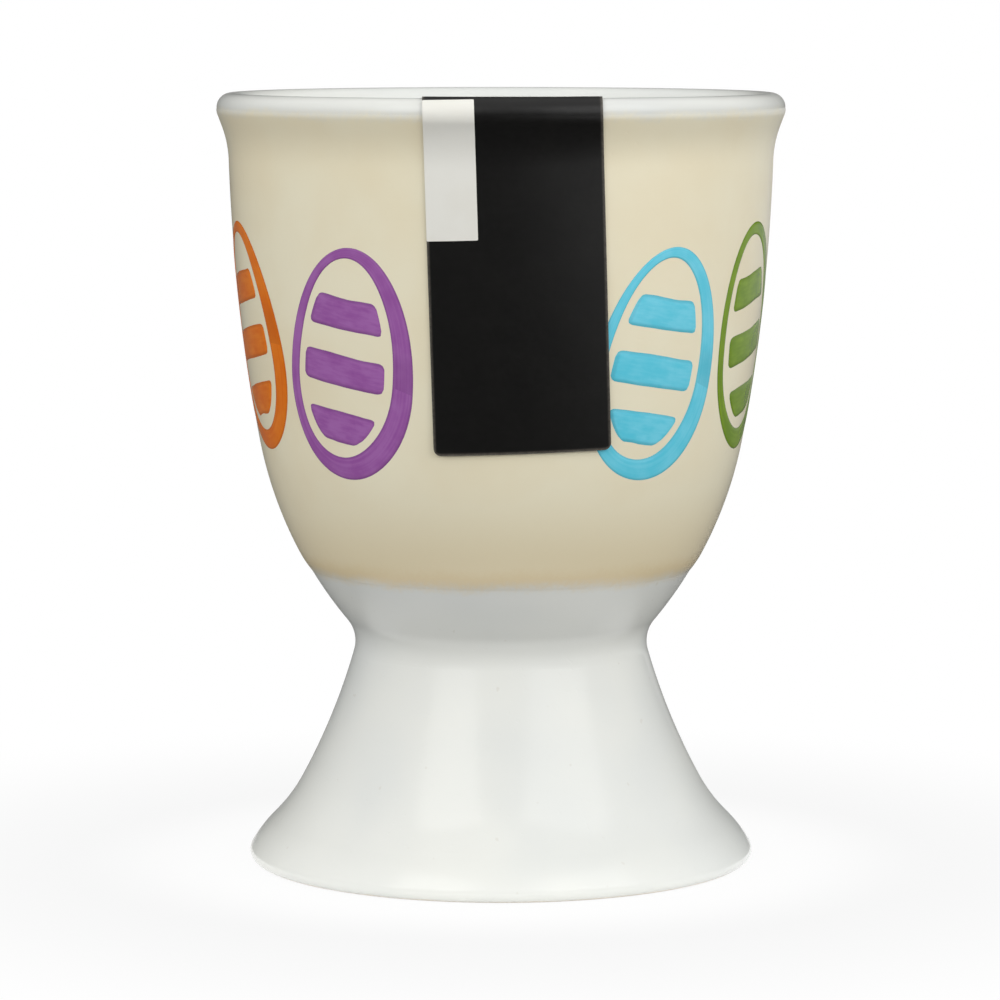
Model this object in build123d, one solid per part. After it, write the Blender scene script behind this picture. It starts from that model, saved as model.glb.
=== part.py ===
"""Footed porcelain egg cup, built up the way the real one is made.

A cast bowl is stuck to a cast pedestal foot with slip, sprayed with a cream glaze band, decorated with
fired-on transfers of striped eggs, and sold with a paper label folded over its rim.

Millimetres, +Z up. The origin is the centre of the foot ring on the table, and the label faces -Y.
Sections are drawn with the radius along local x and the height along local y.
"""

import os
from math import cos, pi, radians, sin

from build123d import *

# Foot casting
FOOT_HEIGHT = 19.1
FOOT_RADIUS = 21.9
FOOT_CEILING = 3.6
FOOT_WALL = 3.0
FOOT_EDGE_ROUND = 0.8
RING_WIDTH = 2.6
COLLAR_RADIUS = 12.5
COLLAR_DROP = 1.3
COLLAR_LEAN = 16.0
TRUNK_FOOT_RADIUS = 16.95
TRUNK_FOOT_HEIGHT = 6.9
SKIRT_RADIUS = 19.5
SKIRT_HEIGHT = 3.5

# Slip joint between the castings
SLIP_THICKNESS = 0.4
PAD_RADIUS = 10.8

# Bowl casting
BOWL_HEIGHT = 45.5
RIM_RADIUS = 23.85
WALL = 2.4
FLOOR_THICKNESS = 5.0
LIP_LEAN = 27.5
FLARE_RADIUS = 8.9
NECK_TAPER = 1.65
SHOULDER_INSET = 3.57
SHOULDER_RISE = 16.6
HEEL_RADIUS = 13.1
HEEL_RISE = 1.1

# Glaze band and transfers fired onto it
BAND_THICKNESS = 0.15
BAND_TOP_DROP = 1.2
BAND_BOTTOM_RISE = 5.3
PRINT_THICKNESS = 0.07
EGG_SLOTS = 10
EGG_GAP = 0.32
EGG_BLUNT_HEIGHT = 8.2
EGG_POINTED_HEIGHT = 11.0
EGG_RISE = 6.8
EGG_STAGGER = 0.8
EGG_TILT = 9.0
EGG_STROKE = 1.4
EGG_STROKE_SHIFT = 0.4
STRIPE_COUNT = 3
STRIPE_GAP = 0.75
STRIPE_HEIGHT = 2.7
STRIPE_PITCH = 4.7
STRIPE_DROP = 3.9

# Slots are counted from the label round towards +X. The label covers slot 0, which has no egg.
EGG_SLOTS_BY_COLOUR = {
    "blue": (1, 6),
    "green": (2, 7),
    "pink": (3,),
    "orange": (4, 8),
    "purple": (5, 9),
}

# Paper label folded over the rim
ADHESIVE_GAP = 0.02
LABEL_THICKNESS = 0.12
LABEL_WIDTH = 14.3
LABEL_CENTRE_X = 0.9
LABEL_DROP = 28.4
LABEL_INNER_DROP = 13.0
LABEL_LEAN = 1.7
LABEL_CORNER = 0.6
PANEL_THICKNESS = 0.03
PANEL_WIDTH = 4.1
PANEL_DROP = 11.1
PANEL_CORNER = 0.1

# Heights and centres that follow from the sizes above
PAD_HEIGHT = FOOT_HEIGHT + SLIP_THICKNESS
RIM_HEIGHT = PAD_HEIGHT + BOWL_HEIGHT
LIP_CENTRE = Vector(RIM_RADIUS - WALL / 2, RIM_HEIGHT - WALL / 2)
SHOULDER = Vector(RIM_RADIUS - SHOULDER_INSET, PAD_HEIGHT + SHOULDER_RISE)
HEEL = Vector(HEEL_RADIUS, PAD_HEIGHT + HEEL_RISE)
COLLAR = Vector(COLLAR_RADIUS, FOOT_HEIGHT - COLLAR_DROP)
PRINT_OFFSET = BAND_THICKNESS + PRINT_THICKNESS
LABEL_OFFSET = PRINT_OFFSET + ADHESIVE_GAP
LABEL_FACE = LABEL_OFFSET + LABEL_THICKNESS
PANEL_OFFSET = LABEL_FACE + ADHESIVE_GAP
EGG_WIDTH = 2 * pi * SHOULDER.X / EGG_SLOTS - EGG_GAP
REACH = 2 * RIM_RADIUS


def heading(lean):
    """Unit vector pointing down a section, leaning towards the axis by lean degrees."""
    return Vector(-sin(radians(lean)), -cos(radians(lean)))


def outward(direction):
    """Normal of a line that runs down a section, pointing away from the axis."""
    return Vector(-direction.Y, direction.X)


def parallel(arc, offset):
    """A concentric copy of an arc that runs down a section, moved away from the axis by offset."""
    points = [arc @ t + outward(arc % t) * offset for t in (0, 0.5, 1)]
    return ThreePointArc(*points)


def lip_point(offset, angle):
    """Point on the rounded lip, offset outside the porcelain."""
    direction = Vector(cos(radians(angle)), sin(radians(angle)))
    return LIP_CENTRE + direction * (WALL / 2 + offset)


def lip_arc(offset, first_angle, last_angle):
    """Stretch of the rounded lip between two angles."""
    angles = (first_angle, (first_angle + last_angle) / 2, last_angle)
    return ThreePointArc(*[lip_point(offset, angle) for angle in angles])


def bowl_wall():
    """Flare, belly and heel arcs of the bowl's outer face, from the lip down."""
    flare = JernArc(lip_point(0, -LIP_LEAN), heading(LIP_LEAN), FLARE_RADIUS, LIP_LEAN - NECK_TAPER)
    belly = TangentArc(flare @ 1, SHOULDER, tangent=flare % 1)
    heel = TangentArc(SHOULDER, HEEL, tangent=belly % 1)
    return flare, belly, heel


FLARE, BELLY, HEEL_ARC = bowl_wall()


def lathe(edges):
    """Solid of revolution about Z from the edges of a closed section."""
    return revolve(Plane.XZ * make_face(edges), axis=Axis.Z)


def strip(low, high):
    """Section region between two heights, on one side of the axis."""
    return Pos(REACH / 2, (low + high) / 2) * Rectangle(REACH, high - low)


def layer(path, inner_offset, outer_offset):
    """Section of a film between two offsets of the same path over the porcelain."""
    inner, outer = path(inner_offset), path(outer_offset)
    ends = [Line(inner[0] @ 0, outer[0] @ 0), Line(inner[-1] @ 1, outer[-1] @ 1)]
    return make_face(inner + outer + ends)


def outside_path(offset):
    """Outer face of the bowl from the top of the rim to the heel."""
    wall = [parallel(arc, offset) for arc in (FLARE, BELLY, HEEL_ARC)]
    return [lip_arc(offset, 90, -LIP_LEAN)] + wall


def draped_path(offset):
    """Outside path of paper that lies on the bare top of the rim and clears the films lower down."""
    crest = lip_point(offset - PRINT_OFFSET, 90)
    lip_end = lip_point(offset, -LIP_LEAN)
    return [TangentArc(crest, lip_end, tangent=Vector(1, 0))] + outside_path(offset)[1:]


def inside_path(offset):
    """Inner face of the bowl from the top of the rim to the shoulder."""
    wall = [parallel(arc, -WALL - offset) for arc in (FLARE, BELLY)]
    return [lip_arc(offset, 90, 180 - LIP_LEAN)] + wall


def make_bowl():
    """Bowl of even wall with a flared, rounded lip, a rounded inside and a bevelled pad underneath."""
    pole = Vector(0, PAD_HEIGHT + FLOOR_THICKNESS)
    pad_edge = Vector(PAD_RADIUS, PAD_HEIGHT)
    inner_flare, inner_belly = parallel(FLARE, -WALL), parallel(BELLY, -WALL)
    inner_bottom = Spline(inner_belly @ 1, pole, tangents=(inner_belly % 1, Vector(-1, 0)))
    section = [
        FLARE,
        BELLY,
        HEEL_ARC,
        Line(HEEL, pad_edge),
        Line(pad_edge, (0, PAD_HEIGHT)),
        Line((0, PAD_HEIGHT), pole),
        inner_bottom,
        inner_belly,
        inner_flare,
        lip_arc(0, -LIP_LEAN, 180 - LIP_LEAN),
    ]
    return lathe(section)


def foot_trunk():
    """Waisted outer face of the foot, from the collar down to where the skirt begins."""
    trunk_foot = Vector(TRUNK_FOOT_RADIUS, TRUNK_FOOT_HEIGHT)
    return TangentArc(COLLAR, trunk_foot, tangent=heading(-COLLAR_LEAN))


def make_foot():
    """Pedestal foot with a spreading skirt, hollow underneath and standing on a plain ring."""
    trunk = foot_trunk()
    skirt = TangentArc(trunk @ 1, Vector(SKIRT_RADIUS, SKIRT_HEIGHT), tangent=trunk % 1)
    base_edge = Vector(FOOT_RADIUS, 0)
    edge = TangentArc(skirt @ 1, base_edge, tangent=skirt % 1)
    pad_edge = Vector(PAD_RADIUS, FOOT_HEIGHT)
    ceiling = Vector(0, FOOT_HEIGHT - FOOT_CEILING)
    ring_inner = Vector(FOOT_RADIUS - FOOT_EDGE_ROUND - RING_WIDTH, 0)
    spring = trunk @ 1 - outward(trunk % 1) * FOOT_WALL
    dome = TangentArc(ceiling, spring, tangent=Vector(1, 0))
    hollow = TangentArc(spring, ring_inner, tangent=dome % 1)
    section = make_face(
        [
            trunk,
            skirt,
            edge,
            Line(base_edge, ring_inner),
            hollow,
            dome,
            Line(ceiling, (0, FOOT_HEIGHT)),
            Line((0, FOOT_HEIGHT), pad_edge),
            Line(pad_edge, COLLAR),
        ]
    )
    corner = section.vertices().sort_by_distance((base_edge.X, base_edge.Y, 0))[0]
    section = fillet(corner, FOOT_EDGE_ROUND)
    return revolve(Plane.XZ * section, axis=Axis.Z)


def make_slip_joint():
    """Disc of slip between the two pads, with the wiped bead that fills the bevels at the waist."""
    bead = TangentArc(COLLAR, HEEL, tangent=-(foot_trunk() % 0))
    upper_edge, lower_edge = Vector(PAD_RADIUS, PAD_HEIGHT), Vector(PAD_RADIUS, FOOT_HEIGHT)
    section = [
        bead,
        Line(HEEL, upper_edge),
        Line(upper_edge, (0, PAD_HEIGHT)),
        Line((0, PAD_HEIGHT), (0, FOOT_HEIGHT)),
        Line((0, FOOT_HEIGHT), lower_edge),
        Line(lower_edge, COLLAR),
    ]
    return lathe(section)


def make_glaze_band():
    """Cream coat sprayed over the outside of the bowl, short of the lip and the heel."""
    section = layer(outside_path, 0, BAND_THICKNESS)
    section &= strip(PAD_HEIGHT + BAND_BOTTOM_RISE, RIM_HEIGHT - BAND_TOP_DROP)
    return revolve(Plane.XZ * section, axis=Axis.Z)


def egg_outline(inset):
    """Egg standing on its blunt end, drawn inset from the full size on every side."""
    half_width = EGG_WIDTH / 2 - inset
    pointed = Ellipse(half_width, EGG_POINTED_HEIGHT - inset)
    blunt = Ellipse(half_width, EGG_BLUNT_HEIGHT - inset)
    half = Rectangle(EGG_WIDTH, EGG_POINTED_HEIGHT + EGG_BLUNT_HEIGHT, align=(Align.CENTER, Align.MIN))
    return (pointed & half) + (blunt - half)


def striped_egg():
    """Brushed outline of an egg, heavier on one side, with broad stripes across the egg inside it."""
    shift = Pos(-EGG_STROKE_SHIFT, EGG_STROKE_SHIFT)
    drawing = egg_outline(0) - shift * egg_outline(EGG_STROKE)
    inside = shift * egg_outline(EGG_STROKE + STRIPE_GAP)
    for number in range(STRIPE_COUNT):
        height = number * STRIPE_PITCH - STRIPE_DROP
        drawing += inside & Pos(0, height) * Rectangle(EGG_WIDTH, STRIPE_HEIGHT)
    return drawing


def make_transfers(slots):
    """Eggs of one colour, wrapped on the glaze band at their slots round the cup."""
    film = revolve(Plane.XZ * layer(outside_path, BAND_THICKNESS, PRINT_OFFSET), axis=Axis.Z)
    eggs = []
    for slot in slots:
        side = -1 if slot % 2 else 1
        height = SHOULDER.Y + EGG_RISE + side * EGG_STAGGER
        drawing = Pos(0, height) * Rot(0, 0, side * EGG_TILT) * striped_egg()
        stamp = Rot(0, 0, slot * 360 / EGG_SLOTS) * extrude(Plane.XZ * drawing, REACH)
        eggs += (film & stamp).solids()
    return Compound(children=eggs)


def label_stamp(width, drop, shift, top, corner):
    """Front-view cutter of a leaning rectangle that hangs drop below the rim, up to the height top."""
    low = RIM_HEIGHT - drop
    outline = Pos(shift, (top + low) / 2) * RectangleRounded(width, top - low, corner)
    swing = Pos(LABEL_CENTRE_X, RIM_HEIGHT) * Rot(0, 0, LABEL_LEAN) * Pos(0, -RIM_HEIGHT)
    return extrude(Plane.XZ * (swing * outline), REACH)


def make_label():
    """Paper label that runs down the front, over the rim and a short way down the inside."""
    above = RIM_HEIGHT + REACH
    outer = layer(draped_path, LABEL_OFFSET, LABEL_FACE)
    inner = layer(inside_path, ADHESIVE_GAP, ADHESIVE_GAP + LABEL_THICKNESS)
    legs = []
    for section, drop in ((outer, LABEL_DROP), (inner, LABEL_INNER_DROP)):
        sheet = revolve(Plane.XZ * section, axis=Axis.Z)
        legs.append(sheet & label_stamp(LABEL_WIDTH, drop, 0, above, LABEL_CORNER))
    return legs[0] + legs[1]


def make_label_panel():
    """White panel stuck on the label's upper left corner."""
    film = layer(draped_path, PANEL_OFFSET, PANEL_OFFSET + PANEL_THICKNESS)
    shift = (PANEL_WIDTH - LABEL_WIDTH) / 2
    stamp = label_stamp(PANEL_WIDTH, PANEL_DROP, shift, RIM_HEIGHT, PANEL_CORNER)
    return revolve(Plane.XZ * film, axis=Axis.Z) & stamp


def main():
    """Builds every piece and writes one STEP file for each."""
    pieces = {
        "bowl": make_bowl(),
        "foot": make_foot(),
        "slip_joint": make_slip_joint(),
        "cream_glaze_band": make_glaze_band(),
        "label": make_label(),
        "label_panel": make_label_panel(),
    }
    for colour, slots in EGG_SLOTS_BY_COLOUR.items():
        pieces[f"{colour}_transfers"] = make_transfers(slots)
    os.makedirs("parts", exist_ok=True)
    for name, shape in pieces.items():
        export_step(shape, f"parts/{name}.step")


main()
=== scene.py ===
"""Studio scene of a footed porcelain egg cup with painted egg transfers and a paper label over its rim."""

from math import atan2, ceil, cos, pi, radians, sin, sqrt, tau

import bmesh
import bpy
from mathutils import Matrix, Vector


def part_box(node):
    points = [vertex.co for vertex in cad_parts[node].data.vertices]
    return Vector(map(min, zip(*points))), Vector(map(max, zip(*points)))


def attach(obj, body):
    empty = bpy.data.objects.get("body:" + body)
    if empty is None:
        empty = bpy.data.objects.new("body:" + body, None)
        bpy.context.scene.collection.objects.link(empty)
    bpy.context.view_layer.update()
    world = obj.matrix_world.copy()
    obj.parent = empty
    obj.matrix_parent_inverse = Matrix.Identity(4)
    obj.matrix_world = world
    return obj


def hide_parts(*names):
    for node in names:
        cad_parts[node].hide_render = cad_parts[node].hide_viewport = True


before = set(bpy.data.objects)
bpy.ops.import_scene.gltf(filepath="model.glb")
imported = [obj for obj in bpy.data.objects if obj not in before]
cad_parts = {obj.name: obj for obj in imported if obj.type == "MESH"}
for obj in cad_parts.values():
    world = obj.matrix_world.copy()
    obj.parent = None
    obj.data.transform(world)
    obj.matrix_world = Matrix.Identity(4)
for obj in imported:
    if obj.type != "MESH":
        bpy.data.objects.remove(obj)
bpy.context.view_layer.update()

MM = 0.001

# Heights and radii read from the frame
FOOT_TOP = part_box("foot")[1].z
PAD_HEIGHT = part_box("bowl")[0].z
RIM_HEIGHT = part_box("bowl")[1].z
RIM_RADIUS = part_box("bowl")[1].x
BAND_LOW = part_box("cream_glaze_band")[0].z
BAND_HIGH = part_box("cream_glaze_band")[1].z
HEEL_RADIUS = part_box("slip_joint")[1].x
HEEL_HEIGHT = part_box("slip_joint")[1].z
COLLAR_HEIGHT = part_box("slip_joint")[0].z

# Bowl
WALL = 2.4 * MM
FLOOR_THICKNESS = 5.0 * MM
LIP_LEAN = radians(27.5)
FLARE_RADIUS = 8.9 * MM
NECK_TAPER = radians(1.65)
SHOULDER_INSET = 3.57 * MM
SHOULDER_RISE = 16.6 * MM
FLOOR_HANDLE = 11.0 * MM
WALL_HANDLE = 8.5 * MM

# Foot and its joint with the bowl
FOOT_RADIUS = 21.9 * MM
FOOT_CEILING = 3.6 * MM
FOOT_WALL = 3.0 * MM
FOOT_EDGE_ROUND = 0.8 * MM
RING_WIDTH = 2.6 * MM
COLLAR_RADIUS = 12.5 * MM
COLLAR_LEAN = radians(16.0)
TRUNK_FOOT = Vector((16.95, 6.9)) * MM
SKIRT_FOOT = Vector((19.5, 3.5)) * MM
PAD_RADIUS = 10.8 * MM

# Films on the bowl
BAND_THICKNESS = 0.15 * MM
BAND_FEATHER = 1.6 * MM
BAND_BED = 0.05 * MM
PRINT_THICKNESS = 0.045 * MM
PRINT_BED = 0.04 * MM

# Egg drawings
EGG_SLOTS = 10
EGG_SLOT_RUNS = {
    "blue": (1, 5, 2),
    "green": (2, 5, 2),
    "pink": (3, 1, 1),
    "orange": (4, 4, 2),
    "purple": (5, 4, 2),
}
EGG_GAP = 0.32 * MM
EGG_BLUNT_HEIGHT = 8.2 * MM
EGG_POINTED_HEIGHT = 11.0 * MM
EGG_RISE = 6.8 * MM
EGG_STAGGER = 0.8 * MM
EGG_TILT = radians(9.0)
EGG_STROKE = 1.4 * MM
EGG_STROKE_SHIFT = Vector((-0.4, 0.4)) * MM
STRIPE_COUNT = 3
STRIPE_GAP = 0.75 * MM
STRIPE_HEIGHT = 2.7 * MM
STRIPE_PITCH = 4.7 * MM
STRIPE_DROP = 3.9 * MM
STRIPE_CORNER = 0.4 * MM
STRIPE_END_SHARE = 0.08
BRUSH_WOBBLE = 0.12 * MM
COLOUR_PHASE = 1.7
STRIPE_PHASE = 1.1

# Label
FILMS_UNDER_LABEL = 0.22 * MM
LABEL_GAP = 0.02 * MM
LABEL_THICKNESS = 0.12 * MM
LABEL_WIDTH = 14.3 * MM
LABEL_CENTRE_X = 0.9 * MM
LABEL_DROP = 28.4 * MM
LABEL_INNER_DROP = 13.0 * MM
LABEL_LEAN = radians(1.7)
LABEL_CORNER = 0.6 * MM
LABEL_CURL = 0.2 * MM
LABEL_CURL_SHARE = 0.2
PANEL_LIFT = 0.02 * MM
PANEL_THICKNESS = 0.03 * MM
PANEL_WIDTH = 4.1 * MM
PANEL_DROP = 11.1 * MM
PANEL_CORNER = 0.1 * MM

# Camera, found from the ellipses of the rim and of the foot
CAMERA_PLACE = Vector((0.0, -386.0, 73.1)) * MM
CAMERA_PITCH = radians(6.288)
CAMERA_FIELD = radians(12.46)
CAMERA_SHIFT = -0.001

# Floor of the studio
FLOOR_REACH = 3.0
FLOOR_DROP = 0.03 * MM

# Fineness of the meshes
TURNS = 224
STROKE_COLUMNS = 12
OUTLINE_STEPS = 200
STRIPE_STEPS = 60
LABEL_ROWS = 200
PANEL_ROWS = 60
SHEET_COLUMNS = 26
DRAPE_STEP = 0.25 * MM
SAME_PLACE = 1e-3 * MM

# Angles from which an edge is shaded sharp
SHELL_CREASE = radians(18)
BRUSH_CREASE = radians(60)
PAPER_CREASE = radians(40)


# Profiles as lists of (point, heading), in radius and height, with the open air on the left


def turned(vector, angle):
    """A flat vector turned anticlockwise."""
    across = vector.x * cos(angle) - vector.y * sin(angle)
    along = vector.x * sin(angle) + vector.y * cos(angle)
    return Vector((across, along))


def left_of(heading):
    """The side of a profile that faces the air."""
    return Vector((-heading.y, heading.x))


def down(lean):
    """Heading that runs down a section and towards the axis by lean."""
    return Vector((-sin(lean), -cos(lean)))


def arc_to(start, heading, end, steps):
    """Arc that leaves start along heading and ends at end."""
    chord = end - start
    half_turn = atan2(heading.x * chord.y - heading.y * chord.x, heading.dot(chord))
    bend = sin(half_turn) / half_turn if abs(half_turn) > 1e-9 else 1.0
    length = chord.length / bend
    stations = []
    for step in range(steps + 1):
        share = step / steps
        swing = half_turn * share
        reach = length * share * (sin(swing) / swing if abs(swing) > 1e-9 else 1.0)
        stations.append((start + turned(heading, swing) * reach, turned(heading, 2 * swing)))
    return stations


def arc_centre(start, heading, end):
    """Centre of the arc that leaves start along heading and ends at end."""
    chord = end - start
    half_turn = atan2(heading.x * chord.y - heading.y * chord.x, heading.dot(chord))
    return start + left_of(heading) * chord.length / (2 * sin(half_turn))


def arc_about(centre, radius, first, last, steps):
    """Arc round a centre between two angles."""
    stations = []
    side = 1 if last > first else -1
    for step in range(steps + 1):
        angle = first + (last - first) * step / steps
        spoke = Vector((cos(angle), sin(angle)))
        stations.append((centre + spoke * radius, turned(spoke, side * pi / 2)))
    return stations


def line_to(start, end, steps=1):
    """Straight run."""
    heading = (end - start).normalized()
    return [(start + (end - start) * step / steps, heading) for step in range(steps + 1)]


def sweep_to(start, start_handle, end_handle, end, steps):
    """Bezier run between two points with their handles."""
    stations = []
    first, middle, last = start_handle - start, end_handle - start_handle, end - end_handle
    for step in range(steps + 1):
        t = step / steps
        u = 1 - t
        point = start * u**3 + start_handle * 3 * u * u * t + end_handle * 3 * u * t * t + end * t**3
        slope = first * u * u + middle * 2 * u * t + last * t * t
        stations.append((point, slope.normalized()))
    return stations


def offset(stations, distance):
    """The same profile moved towards the air by distance, or by distance(point) where it varies."""
    amount = distance if callable(distance) else lambda point: distance
    return [(point + left_of(heading) * amount(point), heading) for point, heading in stations]


def backwards(stations):
    """The same profile walked the other way."""
    return [(point, -heading) for point, heading in reversed(stations)]


def points_of(*runs):
    """Points of consecutive runs, without the doubles where they meet."""
    points = []
    for point, heading in sum(runs, []):
        if not points or (point - points[-1]).length > SAME_PLACE:
            points.append(point)
    return points


# Outlines of the two castings

LIP_CENTRE = Vector((RIM_RADIUS - WALL / 2, RIM_HEIGHT - WALL / 2))
SHOULDER = Vector((RIM_RADIUS - SHOULDER_INSET, PAD_HEIGHT + SHOULDER_RISE))
HEEL = Vector((HEEL_RADIUS, HEEL_HEIGHT))
COLLAR = Vector((COLLAR_RADIUS, COLLAR_HEIGHT))
UPPER_PAD = Vector((PAD_RADIUS, PAD_HEIGHT))
LOWER_PAD = Vector((PAD_RADIUS, FOOT_TOP))


def bowl_outside():
    """Outer face of the bowl as flare, belly and heel, from the lip down."""
    lip_end = LIP_CENTRE + Vector((cos(LIP_LEAN), -sin(LIP_LEAN))) * WALL / 2
    flare_centre = lip_end + Vector((cos(LIP_LEAN), -sin(LIP_LEAN))) * FLARE_RADIUS
    flare = arc_about(flare_centre, FLARE_RADIUS, pi - LIP_LEAN, pi - NECK_TAPER, 12)
    belly = arc_to(flare[-1][0], down(NECK_TAPER), SHOULDER, 44)
    heel = arc_to(SHOULDER, belly[-1][1], HEEL, 36)
    return flare, belly, heel


FLARE, BELLY, HEEL_RUN = bowl_outside()
LIP_OUTSIDE = arc_about(LIP_CENTRE, WALL / 2, pi / 2, -LIP_LEAN, 16)
LIP_INSIDE = arc_about(LIP_CENTRE, WALL / 2, pi - LIP_LEAN, pi / 2, 10)
INNER_FLARE = backwards(offset(FLARE, -WALL))
INNER_BELLY = backwards(offset(BELLY, -WALL))
INSIDE = INNER_BELLY + INNER_FLARE + LIP_INSIDE
OUTSIDE = LIP_OUTSIDE + FLARE + BELLY + HEEL_RUN


def bowl_profile():
    """Whole section of the bowl, from the floor inside, over the lip and round to the pad underneath."""
    wall_foot, wall_heading = INNER_BELLY[0]
    floor = Vector((0, PAD_HEIGHT + FLOOR_THICKNESS))
    floor_handle = floor + Vector((FLOOR_HANDLE, 0))
    wall_handle = wall_foot - wall_heading * WALL_HANDLE
    bottom = sweep_to(floor, floor_handle, wall_handle, wall_foot, 40)
    pad = line_to(HEEL, UPPER_PAD, 3) + line_to(UPPER_PAD, Vector((0, PAD_HEIGHT)), 4)
    return points_of(bottom, INSIDE, OUTSIDE, pad)


def foot_profile():
    """Whole section of the foot, from its top pad down the outside, under the ring and up the hollow."""
    trunk = arc_to(COLLAR, down(-COLLAR_LEAN), TRUNK_FOOT, 40)
    skirt = arc_to(TRUNK_FOOT, trunk[-1][1], SKIRT_FOOT, 22)
    edge_centre = arc_centre(SKIRT_FOOT, skirt[-1][1], Vector((FOOT_RADIUS, 0)))
    edge_spoke = SKIRT_FOOT - edge_centre
    edge_radius = edge_spoke.length
    round_drop = FOOT_EDGE_ROUND - edge_centre.y
    round_reach = sqrt((edge_radius - FOOT_EDGE_ROUND) ** 2 - round_drop**2)
    meeting = atan2(round_drop, round_reach)
    edge = arc_about(edge_centre, edge_radius, atan2(edge_spoke.y, edge_spoke.x), meeting, 24)
    round_centre = edge_centre + Vector((round_reach, round_drop))
    rounded = arc_about(round_centre, FOOT_EDGE_ROUND, meeting, -pi / 2, 16)
    ring_outer = Vector((round_centre.x, 0))
    ring_inner = Vector((FOOT_RADIUS - FOOT_EDGE_ROUND - RING_WIDTH, 0))
    spring = TRUNK_FOOT - left_of(trunk[-1][1]) * FOOT_WALL
    ceiling = Vector((0, FOOT_TOP - FOOT_CEILING))
    dome = arc_to(ceiling, Vector((1, 0)), spring, 36)
    hollow = arc_to(spring, dome[-1][1], ring_inner, 24)
    top = line_to(Vector((0, FOOT_TOP)), LOWER_PAD, 4) + line_to(LOWER_PAD, COLLAR, 2)
    ring = line_to(ring_outer, ring_inner, 4)
    return points_of(top, trunk, skirt, edge, rounded, ring, backwards(hollow), backwards(dome))


def slip_profile():
    """Disc of slip between the pads with the wiped bead at the waist."""
    bead = backwards(arc_to(COLLAR, -down(-COLLAR_LEAN), HEEL, 18))
    above = line_to(Vector((0, PAD_HEIGHT)), UPPER_PAD, 4) + line_to(UPPER_PAD, HEEL, 2)
    below = line_to(COLLAR, LOWER_PAD, 2) + line_to(LOWER_PAD, Vector((0, FOOT_TOP)), 4)
    return points_of(above, bead, below)


def band_profile():
    """Closed section of the glaze band, feathered out to nothing at both edges."""

    def thickness(point):
        edge = min(point.y - BAND_LOW, BAND_HIGH - point.y) / BAND_FEATHER
        share = min(max(edge, 0.0), 1.0)
        return BAND_THICKNESS * share * (2 - share)

    run = [station for station in OUTSIDE if BAND_LOW < station[0].y < BAND_HIGH]
    face = points_of(offset(run, thickness))
    back = points_of(backwards(offset(run, -BAND_BED)))
    return face + back + face[:1]


# Geometry node trees

ABOUT_Z = {"rotation_type": "Z_AXIS"}


def new_tree(name, sockets):
    """Empty geometry node tree with named inputs, one geometry in and one out."""
    tree = bpy.data.node_groups.new(name, "GeometryNodeTree")
    tree.interface.new_socket("Geometry", in_out="INPUT", socket_type="NodeSocketGeometry")
    for socket_name, socket_type in sockets:
        tree.interface.new_socket(socket_name, in_out="INPUT", socket_type=f"NodeSocket{socket_type}")
    tree.interface.new_socket("Geometry", in_out="OUTPUT", socket_type="NodeSocketGeometry")
    return tree


def add(tree, kind, settings=None, **inputs):
    """Node of a kind, with its settings, and its inputs linked or set by position (i0, i1) or by name."""
    node = tree.nodes.new(kind)
    for name, value in (settings or {}).items():
        setattr(node, name, value)
    for key, value in inputs.items():
        by_place = key[0] == "i" and key[1:].isdigit()
        socket = node.inputs[int(key[1:]) if by_place else key.replace("_", " ")]
        if isinstance(value, bpy.types.NodeSocket):
            tree.links.new(value, socket)
        else:
            socket.default_value = value
    return node


def maths(tree, operation, *values):
    """Output of a Math node."""
    inputs = {f"i{place}": value for place, value in enumerate(values)}
    return add(tree, "ShaderNodeMath", {"operation": operation}, **inputs).outputs[0]


def finish_tree(tree, mesh, material):
    """Ends a tree in realised geometry with its material."""
    real = add(tree, "GeometryNodeRealizeInstances", i0=mesh).outputs[0]
    painted = add(tree, "GeometryNodeSetMaterial", Geometry=real, Material=material).outputs[0]
    output = tree.nodes.new("NodeGroupOutput")
    tree.links.new(painted, output.inputs[0])
    return tree


def lathe_tree():
    """Turns a profile drawn as a chain of edges into a closed shell about Z."""
    tree = new_tree("lathe", [("Turns", "Int"), ("Material", "Material")])
    source = tree.nodes.new("NodeGroupInput").outputs
    profile = source["Geometry"]
    count = add(tree, "GeometryNodeAttributeDomainSize", Geometry=profile).outputs["Point Count"]
    columns = maths(tree, "ADD", source["Turns"], 1)
    grid = add(tree, "GeometryNodeMeshGrid", Size_X=1.0, Size_Y=1.0, Vertices_X=columns, Vertices_Y=count)
    place = add(tree, "GeometryNodeInputPosition").outputs[0]
    split = add(tree, "ShaderNodeSeparateXYZ", i0=place).outputs
    angle = maths(tree, "MULTIPLY_ADD", split["X"], tau, pi)
    last_row = maths(tree, "SUBTRACT", count, 1)
    row = maths(tree, "ROUND", maths(tree, "MULTIPLY", maths(tree, "ADD", split["Y"], 0.5), last_row))
    settings = {"data_type": "FLOAT_VECTOR", "domain": "POINT"}
    sample = add(tree, "GeometryNodeSampleIndex", settings, Geometry=profile, Value=place, Index=row)
    spun = add(tree, "ShaderNodeVectorRotate", ABOUT_Z, Vector=sample.outputs[0], Angle=angle)
    shell = add(tree, "GeometryNodeSetPosition", Geometry=grid.outputs["Mesh"], Position=spun.outputs[0])
    merged = add(tree, "GeometryNodeMergeByDistance", Geometry=shell.outputs[0], Distance=1e-4 * MM)
    return finish_tree(tree, merged.outputs[0], source["Material"])


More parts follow.
